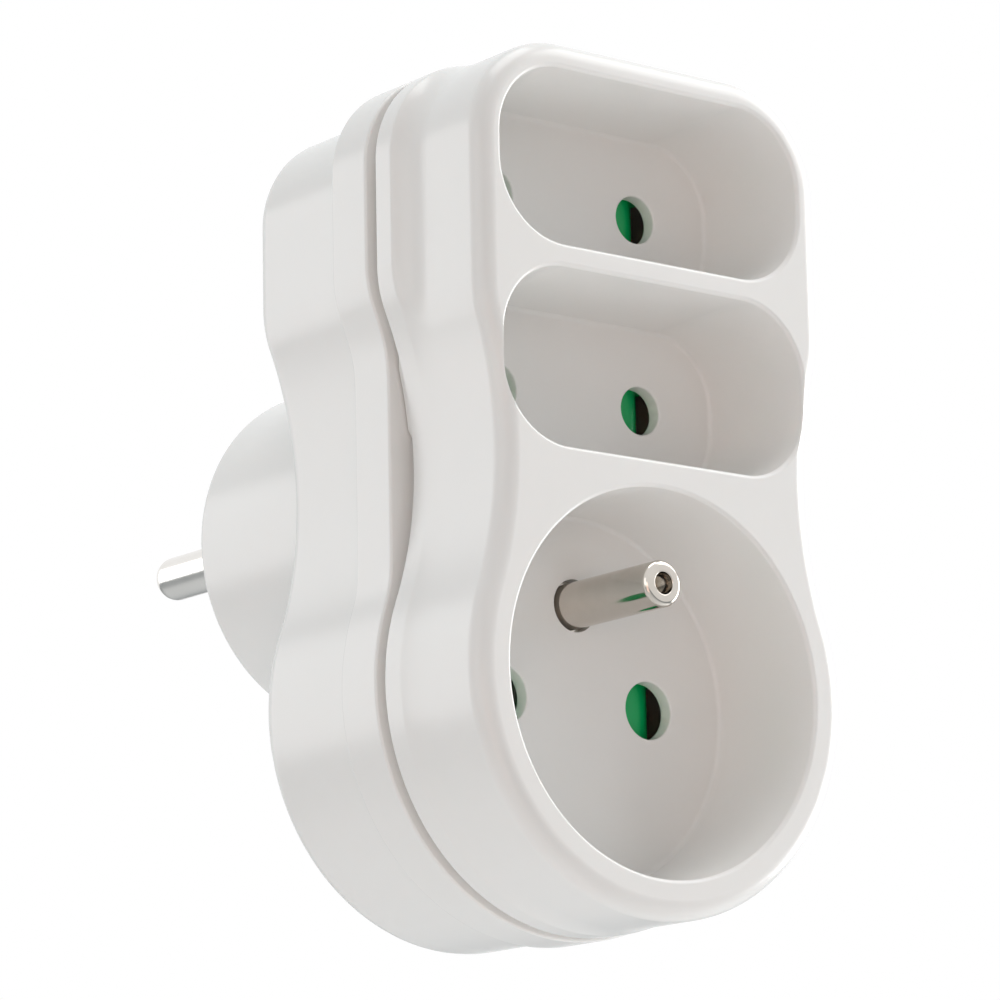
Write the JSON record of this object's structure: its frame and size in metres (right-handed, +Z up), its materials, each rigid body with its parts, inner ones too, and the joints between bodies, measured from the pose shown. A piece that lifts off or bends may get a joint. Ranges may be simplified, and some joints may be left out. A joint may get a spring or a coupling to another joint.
{
  "type": "multi socket adapter",
  "caption": "Wall-plug socket adapter: pear-shaped white housing, flat and round front sockets with sprung shutters, round plug boss with pins.",
  "frame": {"origin": "centre of the plug face, between the two plug pins", "axes": "+Y along the plug pins, into the wall; +Z up, along the long way of the housing; +X to the right when seen from the front"},
  "size_m": [0.0492, 0.074, 0.0887],
  "materials": {
    "housing_white": "glossy moulded",
    "shutter_green": "smooth moulded",
    "carrier_white": "moulded",
    "spring_steel": "drawn wire",
    "pin_nickel": "nickel plated, turned",
    "contact_brass": "stamped strip",
    "screw_zinc": "zinc plated"
  },
  "bodies": {
    "housing": {"front_cover": "housing_white", "rear_shell": "housing_white", "shutter_carrier_bottom": "carrier_white", "shutter_carrier_middle": "carrier_white", "shutter_carrier_top": "carrier_white", "shutter_spring_bottom": "spring_steel", "shutter_spring_middle": "spring_steel", "shutter_spring_top": "spring_steel", "plug_pin_left": "pin_nickel", "plug_pin_right": "pin_nickel", "socket_earth_pin": "pin_nickel", "line_busbar": "contact_brass", "neutral_busbar": "contact_brass", "earth_strap": "contact_brass", "plug_earth_contact": "contact_brass", "line_clip_bottom": "contact_brass", "line_clip_middle": "contact_brass", "line_clip_top": "contact_brass", "neutral_clip_bottom": "contact_brass", "neutral_clip_middle": "contact_brass", "neutral_clip_top": "contact_brass", "housing_screw_left": "screw_zinc", "housing_screw_right": "screw_zinc"},
    "shutter_bottom": {"shutter_bottom": "shutter_green"},
    "shutter_middle": {"shutter_middle": "shutter_green"},
    "shutter_top": {"shutter_top": "shutter_green"}
  },
  "joints": [
    {"name": "shutter_bottom_slide", "type": "slide", "parent": "housing", "child": "shutter_bottom", "axis": [-1, 0, 0], "range_m": [0, 0.00585], "stiffness_N_per_m": 180, "springref_m": -0.005, "deforming": ["shutter_spring_bottom"]},
    {"name": "shutter_middle_slide", "type": "slide", "parent": "housing", "child": "shutter_middle", "axis": [-1, 0, 0], "range_m": [0, 0.0054], "stiffness_N_per_m": 180, "springref_m": -0.005, "deforming": ["shutter_spring_middle"]},
    {"name": "shutter_top_slide", "type": "slide", "parent": "housing", "child": "shutter_top", "axis": [-1, 0, 0], "range_m": [0, 0.0054], "stiffness_N_per_m": 180, "springref_m": -0.005, "deforming": ["shutter_spring_top"]}
  ]
}
